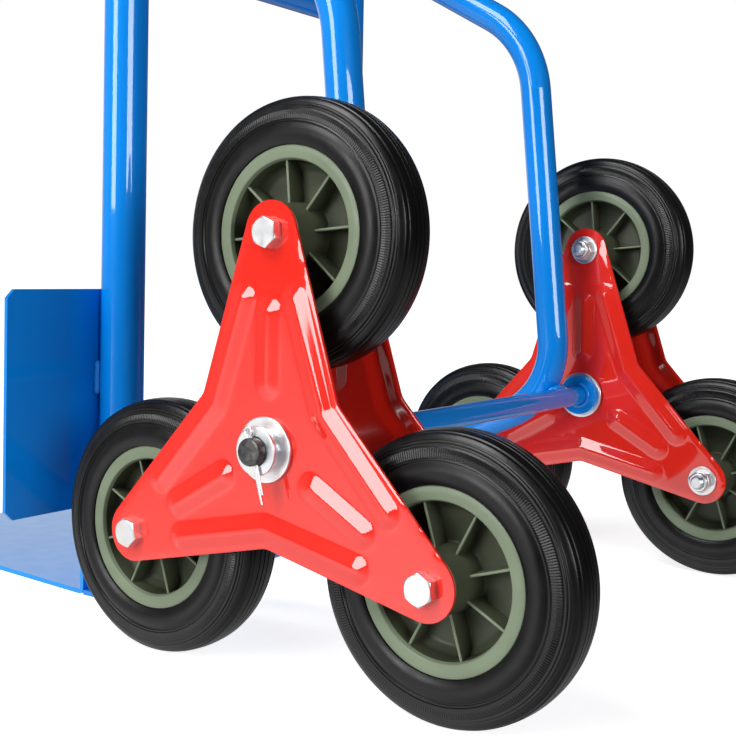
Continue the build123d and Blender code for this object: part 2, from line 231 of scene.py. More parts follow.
def piece(name, verts, faces, materials, body, slot, replaces=(), smooth=40, face_slots=None):
    """Make a mesh object in the row frame, shade it, and let it ride on its body."""
    mesh = bpy.data.meshes.new(name)
    mesh.from_pydata([tuple(v) for v in verts], [], faces)
    mesh.validate()
    for material in materials:
        mesh.materials.append(material)
    if face_slots:
        mesh.polygons.foreach_set("material_index", face_slots)
    made = bpy.data.objects.new(name, mesh)
    bpy.context.scene.collection.objects.link(made)
    shade(made, smooth)
    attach(made, body)
    if replaces:
        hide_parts(*replaces)
    return made


def shade(made, angle):
    """Smooth shading that stays sharp where faces meet at more than the angle, in degrees."""
    mesh = made.data
    mesh.polygons.foreach_set("use_smooth", [True] * len(mesh.polygons))
    mesh.set_sharp_from_angle(angle=math.radians(angle))
    mesh.update()


def arc_points(centre, radius, start, end, steps):
    """Points on an arc in a 2-D profile, angles in radians."""
    turns = [start + (end - start) * i / steps for i in range(steps + 1)]
    return [(centre[0] + radius * math.cos(t), centre[1] + radius * math.sin(t)) for t in turns]


def rounded(corners, steps=4, closed=True):
    """Round a 2-D outline's corners. Each corner is (x, y) or (x, y, radius)."""
    points = []
    count = len(corners)
    for i, corner in enumerate(corners):
        here = Vector(corner[:2])
        radius = corner[2] if len(corner) > 2 else 0
        if not radius or (not closed and i in (0, count - 1)):
            points.append(tuple(here))
            continue
        before = (Vector(corners[i - 1][:2]) - here).normalized()
        after = (Vector(corners[(i + 1) % count][:2]) - here).normalized()
        half = before.angle(after) / 2
        start = here + before * (radius / math.tan(half))
        end = here + after * (radius / math.tan(half))
        middle = here + (before + after).normalized() * (radius / math.sin(half))
        a0 = math.atan2(*(start - middle).yx)
        a1 = math.atan2(*(end - middle).yx)
        a1 += 2 * math.pi * round((a0 - a1) / (2 * math.pi))
        points += arc_points(middle, radius, a0, a1, steps)
    return points


def lathe(profile, centre, steps, closed=True, wave=None):
    """Turn a profile of (x, radius) in mm about the X axis through centre.

    wave(i, x, radius) may change the radius at step i. A profile that isn't closed ends on the axis."""
    verts, faces = [], []
    count = len(profile)
    for i in range(steps):
        angle = 2 * math.pi * i / steps
        for x, radius in profile:
            r = wave(i, x, radius) if wave else radius
            verts.append(centre + Vector((x, r * math.cos(angle), r * math.sin(angle))) * MM)
    for i in range(steps):
        a, b = i * count, (i + 1) % steps * count
        for j in range(count if closed else count - 1):
            k = (j + 1) % count
            faces.append((a + j, a + k, b + k, b + j))
    return verts, faces


def merge(parts):
    """Join several (verts, faces) into one."""
    verts, faces = [], []
    for part_verts, part_faces in parts:
        shift = len(verts)
        verts += part_verts
        faces += [tuple(i + shift for i in face) for face in part_faces]
    return verts, faces


def mirrored(part):
    """The same shape on the other side of the YZ plane."""
    verts, faces = part
    return [Vector((-v.x, v.y, v.z)) for v in verts], [face[::-1] for face in faces]


def on_side(side, part):
    return part if side == "left" else mirrored(part)


def star_body(side):
    return f"{side}_star"


def arm_centre(arm, x=0.0, radius=122.5):
    """Bolt centre of one arm, x in mm."""
    angle = math.radians(ARM_ANGLES[arm])
    return HUB + Vector((x, radius * math.cos(angle), radius * math.sin(angle))) * MM


# ---------------------------------------------------------------- tyres

TREAD_TEETH = 300
TOOTH_DEPTH = 0.8
BAND_INNER, BAND_OUTER = 66.0, 71.2
TREAD_FROM = 63.0


def on_band(radius):
    """True for the radii of the toothed band on the tyre's shoulder."""
    return BAND_INNER - 0.1 < radius < BAND_OUTER + 0.1


def tyre_half_profile():
    """Outer section of the tyre from the rim lip to the crown, on the +x side, in mm."""
    section = [(17.3, 51.0), (17.7, 51.6), (18.5, 53.6), (18.9, 55.6), (19.0, 57.2), (18.85, 58.8),
               (18.5, 60.3), (17.95, 61.7), (17.35, 62.8), (17.05, 63.4), (17.05, 63.7), (17.6, 64.1),
               (17.6, 64.7), (17.1, 65.2), (17.0, 65.6)]
    section += [(17.4, 66.0), (17.1, 68.6), (16.4, 71.2)]
    section += [(15.8, 71.6), (15.75, 71.9), (15.95, 72.6), (15.65, 73.1), (15.0, 73.3), (15.05, 73.7),
                (15.0, 74.5), (14.65, 74.9), (14.2, 75.0)]
    section += [(14.05, 75.6), (12.6, 77.7), (12.3, 78.0), (11.8, 78.25), (11.1, 78.4), (10.8, 77.9),
                (10.0, 77.8), (9.6, 78.8), (9.3, 79.1), (7.5, 79.45), (4.4, 79.8), (4.15, 79.2), (3.55, 79.2),
                (3.3, 79.88), (1.6, 79.97), (0.5, 80.0), (0.3, 79.35)]
    return section


def tyre_mesh(centre):
    half = tyre_half_profile()
    seat = [(-13.9, 51.0), (-13.9, 46.1), (13.9, 46.1), (13.9, 51.0)]
    profile = seat + half + [(-x, r) for x, r in reversed(half)]

    def teeth(i, x, radius):
        """Fine ridges across the shoulder band."""
        return radius - (TOOTH_DEPTH if on_band(radius) and i % 2 else 0)

    return lathe(profile, centre, 2 * TREAD_TEETH, wave=teeth), profile


def make_tyre(side, arm):
    node = f"{side}_{arm}_tyre"
    (verts, faces), profile = tyre_mesh(box_middle(node))
    count = len(profile)
    outer = [min(profile[j][1], profile[(j + 1) % count][1]) > TREAD_FROM for j in range(count)]
    slots = [int(outer[k % count]) for k in range(len(faces))]
    made = piece(f"{node}_rubber", verts, faces, [TYRE, TREAD], f"{side}_{arm}_wheel", "tyre_rubber",
                 [node], 50, slots)
    toothed = {j for j, (x, r) in enumerate(profile) if on_band(r)}
    round_faces = [not {j, (j + 1) % count} <= toothed for j in range(count)]
    made.data.polygons.foreach_set("use_smooth", round_faces * (2 * TREAD_TEETH))
    return made


# ---------------------------------------------------------------- rims

RIB_TURNS = {"top": 5, "front": 18, "rear": 17}
RIBS = 8
# Faces nearer than this to the rim's mid-plane, in mm, take the darker copy: painted shade in the recess
PAINTED_SHADE_DEPTH = 13.4


def rib(angle, inner, outer, low, high, thickness):
    """One radial plate with rounded free edge, as a solid bar from inner to outer radius, in mm."""
    draft = 0.35
    section = rounded([(low, -thickness / 2 - draft), (high, -thickness / 2, 0.7),
                       (high, thickness / 2, 0.7), (low, thickness / 2 + draft)], 3)
    verts, faces = [], []
    out = Vector((0, math.cos(angle), math.sin(angle)))
    across = Vector((0, -math.sin(angle), math.cos(angle)))
    for radius in (inner, outer):
        verts += [(Vector((x, 0, 0)) + out * radius + across * w) * MM for x, w in section]
    count = len(section)
    faces += [(j, (j + 1) % count, count + (j + 1) % count, count + j) for j in range(count)]
    faces += [tuple(reversed(range(count))), tuple(range(count, 2 * count))]
    return verts, faces


def rim_mesh(arm, centre):
    """Turned channel, barrel, web and boss, with ribs on both sides."""
    half = [(14.0, 46.0), (14.0, 50.9, 0.4), (16.6, 50.9, 0.9), (17.15, 47.5, 8.0), (16.9, 43.1, 1.1),
            (14.5, 42.2, 0.5), (5.0, 41.4, 4.0), (1.6, 37.0, 5.0), (1.5, 18.4, 1.6), (28.6, 16.9, 0.9),
            (29.0, 11.0, 0.3)]
    outline = half + [(-c[0], *c[1:]) for c in reversed(half)]
    turned = lathe(rounded(outline, 4), Vector(), 128)
    turn = math.radians(90 + RIB_TURNS[arm])
    ribs = []
    for i in range(RIBS):
        angle = turn + 2 * math.pi * i / RIBS
        ribs.append(rib(angle, 16.5, 42.6, 1.0, 14.2, 1.6))
        ribs.append(mirrored(rib(angle, 16.5, 42.6, 1.0, 14.2, 1.6)))
    verts, faces = merge([turned] + ribs)
    return [centre + v for v in verts], faces


def make_rim(side, arm):
    node = f"{side}_{arm}_rim"
    centre = box_middle(node)
    verts, faces = rim_mesh(arm, centre)
    # Faces deep in the rim, between the ribs, take the darker copy of the plastic: painted shade, not a
    # different material
    slots = []
    for face in faces:
        outward = min(abs(verts[i].x - centre.x) for i in face) / MM
        slots.append(0 if outward > PAINTED_SHADE_DEPTH else 1)
    return piece(f"{node}_moulding", verts, faces, [RIM, RIM_PAINTED_SHADE], f"{side}_{arm}_wheel", "rim_plastic",
                 [node], 35, slots)


# ---------------------------------------------------------------- star plates

BOLT_CIRCLE = 122.5
ARM_END_R = 18.3
STAR_CORNER_R = 56.5
CORNER_FILLET = 12.0
PLATE_T = 2.5
HUB_HOLE_R = 12.1
BOLT_HOLE_R = 5.3
BEAD_SLOPE = math.tan(math.radians(18.5))
BEAD_HALF = 8.8
BEAD_CREST = 2.4
BEAD_FOOT = 1.4
BEAD_ROWS = (0.8, 1.6, 2.4, 3.4, 5.0, 6.6, 7.4, 8.2, 9.2, 10.3)
CENTRE_BEAD = (37.0, 78.0)
EDGE_BEAD_INSET = 11.2
EDGE_BEAD_END = 85.0
EDGE_BEAD_BEND = 12.0
SHEET_PITCH = 4.2


def turned(point, degrees):
    angle = math.radians(degrees)
    return Vector((point[0] * math.cos(angle) - point[1] * math.sin(angle),
                   point[0] * math.sin(angle) + point[1] * math.cos(angle)))


def star_outline():
    """Outline of a star plate in hub coordinates, mm, counter-clockwise from the top arm."""
    corner = (STAR_CORNER_R * math.cos(math.radians(30)), STAR_CORNER_R * math.sin(math.radians(30)))
    tip = Vector((0, BOLT_CIRCLE))
    reach = Vector(corner) - tip
    lean = math.atan2(reach.y, reach.x)
    touch = lean + math.acos(ARM_END_R / reach.length)
    arm = arc_points(tip, ARM_END_R, touch, math.pi - touch, 20)
    points = []
    for i in range(3):
        end = turned(arm[-1], 120 * i)
        start = turned(arm[0], 120 * (i + 1))
        vertex = turned((-corner[0], corner[1]), 120 * i)
        bend = rounded([tuple(end), (*vertex, CORNER_FILLET), tuple(start)], 6, closed=False)
        points += [tuple(turned(p, 120 * i)) for p in arm]
        points += bend[1:-1]
    return points


def bead_lines():
    """Crest lines of the pressed beads: one along each arm, and one round each inner corner."""
    lean = math.atan2(STAR_CORNER_R * math.cos(math.radians(30)) - ARM_END_R,
                      BOLT_CIRCLE - STAR_CORNER_R * math.sin(math.radians(30)))
    crest_at_end = ARM_END_R + math.tan(lean) * (BOLT_CIRCLE - EDGE_BEAD_END) - EDGE_BEAD_INSET / math.cos(lean)
    bend_radius = STAR_CORNER_R - EDGE_BEAD_INSET / math.cos(math.radians(30) - lean)
    bend = turned((bend_radius, 0), 150)
    end = (-crest_at_end, EDGE_BEAD_END)
    other = turned((crest_at_end, EDGE_BEAD_END), 120)
    edge_bead = rounded([end, (*bend, EDGE_BEAD_BEND), tuple(other)], 6, closed=False)
    lines = []
    for i in range(3):
        lines.append([turned((0, CENTRE_BEAD[0]), 120 * i), turned((0, CENTRE_BEAD[1]), 120 * i)])
        lines.append([turned(p, 120 * i) for p in edge_bead])
    return lines


def divided(line, pitch):
    """The same line with its long runs cut into steps of about pitch."""
    points = [line[0]]
    for a, b in zip(line, line[1:]):
        steps = max(1, round((b - a).length / pitch))
        points += [a + (b - a) * (k / steps) for k in range(1, steps + 1)]
    return points


def beside(line, distance):
    """Closed loop round a line at the given distance, with round ends."""
    loop = []
    for run in (line, line[::-1]):
        for i, point in enumerate(run):
            ahead = run[min(i + 1, len(run) - 1)] - run[max(i - 1, 0)]
            across = Vector((ahead.y, -ahead.x)).normalized()
            loop.append(point + across * distance)
        heading = math.atan2(across.y, across.x)
        steps = max(4, round(distance * 1.6))
        loop += [Vector(p) for p in arc_points(run[-1], distance, heading, heading + math.pi, steps)[1:-1]]
    return loop


def distance_to_line(point, line):
    best = 1e9
    for a, b in zip(line, line[1:]):
        along = b - a
        t = max(0.0, min(1.0, (point - a).dot(along) / along.length_squared))
        best = min(best, (point - a - along * t).length)
    return best


def bead_height(point, lines):
    """Height of the pressed surface above the sheet, mm: two flat slopes, a soft crest and soft feet."""
    d = min(distance_to_line(point, line) for line in lines)
    if d < BEAD_CREST:
        return BEAD_SLOPE * (BEAD_HALF - (d * d / BEAD_CREST + BEAD_CREST) / 2)
    if d < BEAD_HALF - BEAD_FOOT:
        return BEAD_SLOPE * (BEAD_HALF - d)
    rest = max(0.0, BEAD_HALF + BEAD_FOOT - d)
    return BEAD_SLOPE * rest * rest / (4 * BEAD_FOOT)


def star_surface():
    """Triangulated sheet with its holes, its edge band and rows of points that follow the beads."""
    lines = bead_lines()
    outline = [Vector(p) for p in star_outline()]
    loops = [divided(outline + outline[:1], 3.0)[:-1]]
    loops.append([Vector(p) for p in arc_points((0, 0), HUB_HOLE_R, 0, 2 * math.pi, 48)[:-1]])
    for degrees in ARM_ANGLES.values():
        centre = turned((BOLT_CIRCLE, 0), degrees)
        loops.append([Vector(p) for p in arc_points(centre, BOLT_HOLE_R, 0, 2 * math.pi, 24)[:-1]])
    points, edges, members = [], [], []

    def add_run(run, closed):
        first = len(points)
        points.extend(run)
        count = len(run)
        edges.extend((first + i, first + (i + 1) % count) for i in range(count if closed else count - 1))
        return list(range(first, first + count))

    for loop in loops:
        members.append(add_run(loop, True))
    for line in lines:
        crest = divided(line, 3.0)
        add_run(crest, False)
        for row in BEAD_ROWS:
            add_run(beside(crest, row), True)
    reach = int((BOLT_CIRCLE + ARM_END_R) / SHEET_PITCH) + 1
    for row in range(-reach, reach):
        for column in range(-reach, reach):
            p = Vector(((column + 0.5 * (row % 2)) * SHEET_PITCH, row * SHEET_PITCH * 0.87))
            clear = min(distance_to_line(p, line) for line in lines) > BEAD_ROWS[-1] + 1.0
            if clear and inside_sheet(p, loops):
                points.append(p)
    made = delaunay_2d_cdt(points, edges, [], 0, 1e-6)
    verts, faces, origins = made[0], made[2], made[3]
    where = {first: i for i, sources in enumerate(origins) for first in sources}
    members = [[where[i] for i in loop] for loop in members]
    kept = []
    for face in faces:
        middle = sum((verts[i] for i in face), Vector((0, 0))) / len(face)
        if inside_sheet(middle, loops, 0.0):
            kept.append(tuple(face))
    return verts, kept, members, lines


def inside_polygon(p, loop):
    found = False
    for a, b in zip(loop, loop[1:] + loop[:1]):
        if (a.y > p.y) != (b.y > p.y) and p.x < (b.x - a.x) * (p.y - a.y) / (b.y - a.y) + a.x:
            found = not found
    return found


def inside_sheet(p, loops, margin=1.0):
    """True if p is on the sheet and at least margin from every edge."""
    if p.length > BOLT_CIRCLE + ARM_END_R or not inside_polygon(p, loops[0]):
        return False
    if any(inside_polygon(p, hole) for hole in loops[1:]):
        return False
    if not margin:
        return True
    return all(distance_to_line(p, loop + loop[:1]) > margin for loop in loops)


SHEET = star_surface()


def star_plate_mesh(x_face, direction):
    """Solid pressed plate whose beads stand out along direction from the plane x_face, in mm."""
    verts, faces, members, lines = SHEET
    heights = [bead_height(Vector(v), lines) for v in verts]
    edge_round = 0.45
    on_edge = {i for loop in members for i in loop}
    out, back = [], []
    for i, (v, h) in enumerate(zip(verts, heights)):
        drop = edge_round if i in on_edge else 0.0
        out.append(HUB + Vector((x_face + direction * (h - drop), v[0], v[1])) * MM)
        back.append(HUB + Vector((x_face + direction * (h - PLATE_T + drop), v[0], v[1])) * MM)
    count = len(verts)
    all_faces = []
    for face in faces:
        front = face if direction > 0 else face[::-1]
        all_faces.append(tuple(front))
        all_faces.append(tuple(count + i for i in reversed(front)))
    for n, loop in enumerate(members):
        for a, b in zip(loop, loop[1:] + loop[:1]):
            wall = (a, b, count + b, count + a)
            outward = wall[::-1] if (direction > 0) == (n == 0) else wall
            all_faces.append(outward)
    return out + back, all_faces


def make_star_plates(side):
    for which, direction in (("outer", 1), ("inner", -1)):
        node = f"{side}_{which}_star_plate"
        low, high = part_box(node)
        mirror = -1 if side == "right" else 1
        x_values = (low.x / MM * mirror, high.x / MM * mirror)
        x_face = max(x_values) if direction > 0 else min(x_values)
        part = on_side(side, star_plate_mesh(x_face, direction))
        piece(f"{node}_pressing", *part, [STAR_PAINT], star_body(side), "star_paint", [node], 60)


# ---------------------------------------------------------------- washers, sleeves and axle


def ring_section(x0, x1, bore, radius, edge):
    """Closed section of a ring with rounded edges, and points just inside them that keep its faces flat."""
    inner, outer = bore + edge * 0.7, radius - edge * 1.2
    return rounded([(x0, bore, edge / 2), (x1, bore, edge / 2), (x1, inner), (x1, outer), (x1, radius, edge),
                    (x0, radius, edge), (x0, outer), (x0, inner)], 4)


def make_ring(node, name, body, material, slot, edge=0.5, steps=72, centres=None):
    """Replace a node of rings by rounded ones. The bore comes from the node's own inner vertices."""
    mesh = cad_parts[node].data
    centres = centres or [Vector((0, HUB.y, HUB.z))]
    parts = []
    for sign in (-1, 1):
        own = [v.co for v in mesh.vertices if v.co.x * sign > 0]
        if not own:
            continue
        x0 = min(c.x for c in own) / MM
        x1 = max(c.x for c in own) / MM
        for centre in centres:
            near = [math.hypot(c.y - centre.y, c.z - centre.z) / MM for c in own]
            near = [r for r in near if r < 40]
            section = ring_section(x0, x1, min(near), max(near), edge)
            parts.append(lathe(section, Vector((0, centre.y, centre.z)), steps))
    return piece(name, *merge(parts), [material], body, slot, [node], 40)


def make_hub_rings():
    make_ring("axle_collars", "axle_collars_painted", "frame", FRAME_PAINT, "frame_paint", 0.4)
    make_ring("inner_hub_washers", "inner_hub_washers_plated", "frame", ZINC, "zinc_plate", 0.5)
    make_ring("retaining_washers", "retaining_washers_plated", "frame", ZINC, "zinc_plate", 0.7)
    for side in SIDES:
        body = star_body(side)
        make_ring(f"{side}_outer_hub_washer", f"{side}_outer_hub_washer_plated", body, ZINC, "zinc_plate", 0.6)
        make_ring(f"{side}_hub_sleeve", f"{side}_hub_sleeve_plated", body, ZINC, "zinc_plate", 0.4)
        centres = [arm_centre(arm) for arm in ARM_ANGLES]
        make_ring(f"{side}_bolt_washers", f"{side}_bolt_washers_plated", body, ZINC, "zinc_plate", 0.5,
                  48, centres)


def make_axle():
    """Painted bar between the collars, blackened outside them."""
    low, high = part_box("axle")
    end = high.x / MM
    radius = (high.z - low.z) / 2 / MM
    painted = abs(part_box("axle_collars")[1].x) / MM
    half = [(0.0, radius), (painted, radius), (painted + 0.1, radius), (end - 1.3, radius),
            (end - 0.5, radius - 0.25), (end - 0.1, radius - 0.9), (end, radius - 1.6), (end, 0.0)]
    profile = [(-x, r) for x, r in reversed(half)] + half[1:]
    verts, faces = lathe(profile, HUB, 64, closed=False)
    count = len(profile)
    slots = []
    for _ in range(64):
        for j in range(count - 1):
            x = (profile[j][0] + profile[j + 1][0]) / 2
            slots.append(0 if abs(x) < painted else 1)
    piece("axle_bar", verts, faces, [FRAME_PAINT, BLACKENED], "frame", "frame_paint", ["axle"], 40, slots)


# ---------------------------------------------------------------- wheel bolts and nuts

FLATS = 16.0
HEX_CUTS = 4
HEX_STEPS = 72
HEAD_TURNS = {"top": 8, "front": 14, "rear": 4}
NUT_TURN = 11


def hex_radius(angle, flats):
    """Distance from the axis to a hexagon's side at an angle."""
    step = math.pi / 3
    return flats / 2 / math.cos((angle + step / 2) % step - step / 2)


def hex_part(x0, x1, flats, turn, centre, chamfer_low, chamfer_high, bore=0.0):
    """Hexagon between x0 and x1 with the turned chamfers that real heads have, x in mm.

    Each level is (x, radius), where a radius beyond the hexagon's own side is cut to it."""
    corner = flats / math.sqrt(3) + 0.01
    face = flats / 2 - 0.25
    levels = [(x0, bore), (x0, face if chamfer_low else corner)]
    for k in range(1, HEX_CUTS + 1):
        if chamfer_low:
            levels.append((x0 + chamfer_low * k / HEX_CUTS, face + (corner - face) * k / HEX_CUTS))
    for k in range(HEX_CUTS, -1, -1):
        if chamfer_high:
            levels.append((x1 - chamfer_high * k / HEX_CUTS, face + (corner - face) * k / HEX_CUTS))
    if not chamfer_high:
        levels.append((x1, corner))
    levels.append((x1, bore))
    verts, faces = [], []
    for i in range(HEX_STEPS):
        angle = 2 * math.pi * i / HEX_STEPS
        limit = hex_radius(angle, flats)
        direction = Vector((0, math.cos(angle + turn), math.sin(angle + turn)))
        for x, radius in levels:
            verts.append(centre + Vector((x, 0, 0)) * MM + direction * min(radius, limit) * MM)
    count = len(levels)
    for i in range(HEX_STEPS):
        a, b = i * count, (i + 1) % HEX_STEPS * count
        for j in range(count if bore else count - 1):
            k = (j + 1) % count
            faces.append((a + j, a + k, b + k, b + j))
    return verts, faces


def threaded_end(x_tip, x_root, centre, radius=5.0, pitch=1.5):
    """Bolt end with turned thread ridges, pointing to -x, in mm."""
    profile = [(x_tip, 0.0), (x_tip, radius - 1.2), (x_tip + 0.6, radius - 0.55)]
    x = x_tip + 0.9
    while x + pitch < x_root:
        profile += [(x, radius - 0.6), (x + pitch / 2, radius), (x + pitch / 2 + 0.15, radius)]
        x += pitch
    profile += [(x_root, radius - 0.6), (x_root, 0.0)]
    return lathe(profile, centre, 40, closed=False)


def make_bolts(side):
    """Hexagon heads outside, plain shanks through the wheels, threads and lock nuts inside."""
    mirror = 1 if side == "left" else -1
    plate_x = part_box(f"{side}_outer_star_plate")[1 if mirror > 0 else 0].x / MM * mirror
    bolt_low, bolt_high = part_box(f"{side}_wheel_bolts")
    head_x = max(bolt_low.x * mirror, bolt_high.x * mirror) / MM
    tip_x = min(bolt_low.x * mirror, bolt_high.x * mirror) / MM
    nut_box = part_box(f"{side}_lock_nuts")
    nut_x = sorted(c.x * mirror / MM for c in nut_box)
    bolts, nuts = [], []
    for arm in ARM_ANGLES:
        centre = arm_centre(arm)
        turn = math.radians(HEAD_TURNS[arm])
        bolts.append(hex_part(plate_x, head_x, FLATS, turn, centre, 0.0, 0.8))
        shank = [(nut_x[0] + 1, 0.0), (nut_x[0] + 1, 4.9), (plate_x + 0.1, 4.9), (plate_x + 0.1, 0.0)]
        bolts.append(lathe(shank, centre, 32, closed=False))
        bolts.append(threaded_end(tip_x, nut_x[0] + 1.2, centre))
        nut_turn = turn + math.radians(NUT_TURN)
        nuts.append(hex_part(nut_x[0] + 3.0, nut_x[1], FLATS, nut_turn, centre, 1.0, 0.9, bore=5.05))
        collar = rounded([(nut_x[0], 5.3, 0.4), (nut_x[0], 7.0, 1.0), (nut_x[0] + 1.2, 7.6, 0.8),
                          (nut_x[0] + 3.6, 7.6), (nut_x[0] + 3.6, 5.3)], 6)
        nuts.append(lathe(collar, centre, 48))
    body = star_body(side)
    piece(f"{side}_wheel_bolts_plated", *on_side(side, merge(bolts)), [ZINC], body, "zinc_plate",
          [f"{side}_wheel_bolts"], 20)
    piece(f"{side}_lock_nuts_plated", *on_side(side, merge(nuts)), [ZINC], body, "zinc_plate",
          [f"{side}_lock_nuts"], 20)


# ---------------------------------------------------------------- weld seams

UPRIGHT_R = 16.0
BAR_R = 12.5
AXLE_R = 8.0
UPRIGHT_X = (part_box("left_handgrip")[0].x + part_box("left_handgrip")[1].x) / 2 / MM
UPRIGHT_Y = box_middle("lower_crossbar").y / MM
SEAM_R = 2.0
SEAM_STEP = 0.55
SEAM_SCALE = 3
# Height where each strut leaves the upright, and its direction there
STRUT_ENDS = ((549.5, (0, 192.0, -111.0)), (47.3, (0, 221.5, 96.3)))
# Lower and upper end of the seams that hold the sheets to an upright, and how far out they lie
SHEET_SEAMS = ((148.0, 173.0, 11.5), (84.0, 104.0, 11.5), (30.0, 56.0, 11.5), (30.0, 56.0, -11.5))
SWEEP_SIDES = 10
# Seam between strut and axle: middle and half spread in degrees round the axle, and half length along it
PATCH_TOWARDS, PATCH_SPREAD = 150, 52
PATCH_HALF = 10.5


def sweep(line, radii, closed, away):
    """Round section along a line in mm. away(point) points off the surface that the line lies on."""
    count = len(line)
    verts, faces = [], []
    for i, point in enumerate(line):
        if closed:
            ahead = line[(i + 1) % count] - line[i - 1]
        else:
            ahead = line[min(i + 1, count - 1)] - line[max(i - 1, 0)]
        side = ahead.cross(away(point)).normalized()
        up = side.cross(ahead).normalized()
        for k in range(SWEEP_SIDES):
            angle = 2 * math.pi * k / SWEEP_SIDES
            verts.append((point + (side * math.cos(angle) + up * math.sin(angle)) * radii[i]) * MM)
    for i in range(count if closed else count - 1):
        a, b = i * SWEEP_SIDES, (i + 1) % count * SWEEP_SIDES
        for k in range(SWEEP_SIDES):
            n = (k + 1) % SWEEP_SIDES
            faces.append((a + k, a + n, b + n, b + k))
    if not closed:
        faces.append(tuple(range(SWEEP_SIDES))[::-1])
        faces.append(tuple(range((count - 1) * SWEEP_SIDES, count * SWEEP_SIDES)))
    return verts, faces


def seam(path, closed, away, radius=SEAM_R):
    """Weld seam with the small overlapping scales that a torch leaves, in mm."""
    line = divided(path + path[:1] if closed else path, SEAM_STEP)
    line = line[:-1] if closed else line
    radii = []
    for i in range(len(line)):
        scale = (i % SEAM_SCALE) / SEAM_SCALE
        drift = math.sin(i * 0.13) + math.sin(i * 0.31 + 1.0)
        end = 1.0 if closed else min(1.0, 0.35 + 0.2 * min(i, len(line) - 1 - i))
        radii.append(radius * end * (1 - 0.16 * scale + 0.05 * drift))
    return sweep(line, radii, closed, away)


def saddle(start, direction, steps=48):
    """Where a bar that leaves the upright's axis at start meets the upright's skin, in mm."""
    start, direction = Vector(start), Vector(direction).normalized()
    across = direction.orthogonal().normalized()
    other = direction.cross(across)
    flat = direction.xy
    path = []
    for i in range(steps):
        angle = 2 * math.pi * i / steps
        offset = (across * math.cos(angle) + other * math.sin(angle)) * BAR_R
        b = offset.xy.dot(flat)
        c = offset.xy.length_squared - UPRIGHT_R ** 2
        reach = (-b + math.sqrt(b * b - flat.length_squared * c)) / flat.length_squared
        path.append(start + offset + direction * reach)
    return path


def circle(radius, steps):
    """Points round the origin of a 2-D profile, without the closing one."""
    return arc_points((0, 0), radius, 0, 2 * math.pi, steps)[:-1]


def ring_path(x, radius):
    """Circle round the axle at x, in mm."""
    return [Vector((x, HUB.y / MM + y, HUB.z / MM + z)) for y, z in circle(radius, 48)]


def make_seams(side):
    """Seams that hold the left or right half of the frame together."""
    sign = 1 if side == "left" else -1
    x = sign * UPRIGHT_X
    axle_y, axle_z = HUB.y / MM, HUB.z / MM
    parts = []

    def from_axis(point):
        return Vector((point.x - x, point.y - UPRIGHT_Y, 0))

    for bar in ("lower", "middle", "upper"):
        z = box_middle(f"{bar}_crossbar").z / MM
        parts.append(seam(saddle((x, UPRIGHT_Y, z), (-sign, 0, 0)), True, from_axis))
    for z, direction in STRUT_ENDS:
        parts.append(seam(saddle((x, UPRIGHT_Y, z), direction), True, from_axis))
    # The strut's elbow lies against the axle, on the side that faces the upright
    patch = []
    for i in range(32):
        angle = 2 * math.pi * i / 32
        around = math.radians(PATCH_TOWARDS + PATCH_SPREAD * math.cos(angle))
        patch.append(Vector((x + PATCH_HALF * math.sin(angle), axle_y + (AXLE_R + 0.7) * math.cos(around),
                             axle_z + (AXLE_R + 0.7) * math.sin(around))))
    parts.append(seam(patch, True, lambda point: Vector((0, point.y - axle_y, point.z - axle_z)), 2.4))
    collar_inner = min(abs(v.co.x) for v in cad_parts["axle_collars"].data.vertices) / MM
    parts.append(seam(ring_path(sign * (collar_inner - 0.3), AXLE_R + 1.2), True,
                      lambda point: Vector((0, point.y - axle_y, point.z - axle_z)), 1.7))
    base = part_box("left_upright")[0].z / MM + 0.8
    foot = [Vector((x + dx, UPRIGHT_Y + dy, base)) for dx, dy in circle(UPRIGHT_R + 0.8, 40)]
    parts.append(seam(foot, True, from_axis))
    # Upright runs against the wheel guard and the toe plate's flange
    for low, high, offset in SHEET_SEAMS:
        line = [Vector((x + sign * offset, UPRIGHT_Y - UPRIGHT_R + 2.4, z)) for z in (low, high)]
        parts.append(seam(line, False, lambda point: Vector((1, 1, 0)), 2.8))
    piece(f"{side}_weld_seams", *merge(parts), [FRAME_PAINT], "frame", "frame_paint", (), 60)


# ---------------------------------------------------------------- grips and split pins

GRIP_TILT = math.radians(30)
GRIP_CAP = 5.0
GRIP_LENGTH = 125.0
GRIP_R = 18.8
GRIP_FLANGE_R = 23.0
GRIP_BORE = 16.06
GRIP_RECESS = 0.9
GRIP_RINGS = 15


def make_grip(side):
    """Moulded rubber grip: domed end, finger rings and a hand stop."""
    node = f"{side}_handgrip"
    along = Vector((0, math.cos(GRIP_TILT), math.sin(GRIP_TILT)))
    sideways = Vector((1, 0, 0))
    upwards = along.cross(sideways)
    crown = max(v.co.dot(along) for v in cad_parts[node].data.vertices)
    lift = grip_axis(node, along)
    end = crown / MM - GRIP_CAP
    outline = [(GRIP_CAP, 0.0), (GRIP_CAP, GRIP_R, 4.0), (-4.0, GRIP_R, 0.5), (-4.6, GRIP_R - GRIP_RECESS, 0.4)]
    pitch = (GRIP_LENGTH - 20) / GRIP_RINGS
    for k in range(GRIP_RINGS):
        x = -6.0 - pitch * k
        outline += [(x, GRIP_R - GRIP_RECESS, 0.4), (x - 1.0, GRIP_R, 0.6), (x - pitch + 2.2, GRIP_R, 0.6),
                    (x - pitch + 1.2, GRIP_R - GRIP_RECESS, 0.4)]
    outline += [(5.0 - GRIP_LENGTH, GRIP_R - 0.6, 1.5), (4.2 - GRIP_LENGTH, GRIP_FLANGE_R, 1.2),
                (0.6 - GRIP_LENGTH, GRIP_FLANGE_R, 1.2), (-GRIP_LENGTH, GRIP_R - 0.5, 0.8),
                (-GRIP_LENGTH, GRIP_BORE)]
    outline = rounded(outline, 3, closed=False)
    verts, faces = lathe(outline, Vector(), 72, closed=False)
    placed = []
    for v in verts:
        placed.append(lift + along * (end * MM + v.x) + sideways * v.y + upwards * v.z)
    piece(f"{node}_moulded", placed, faces, [GRIP], "frame", "grip_rubber", [node], 35)


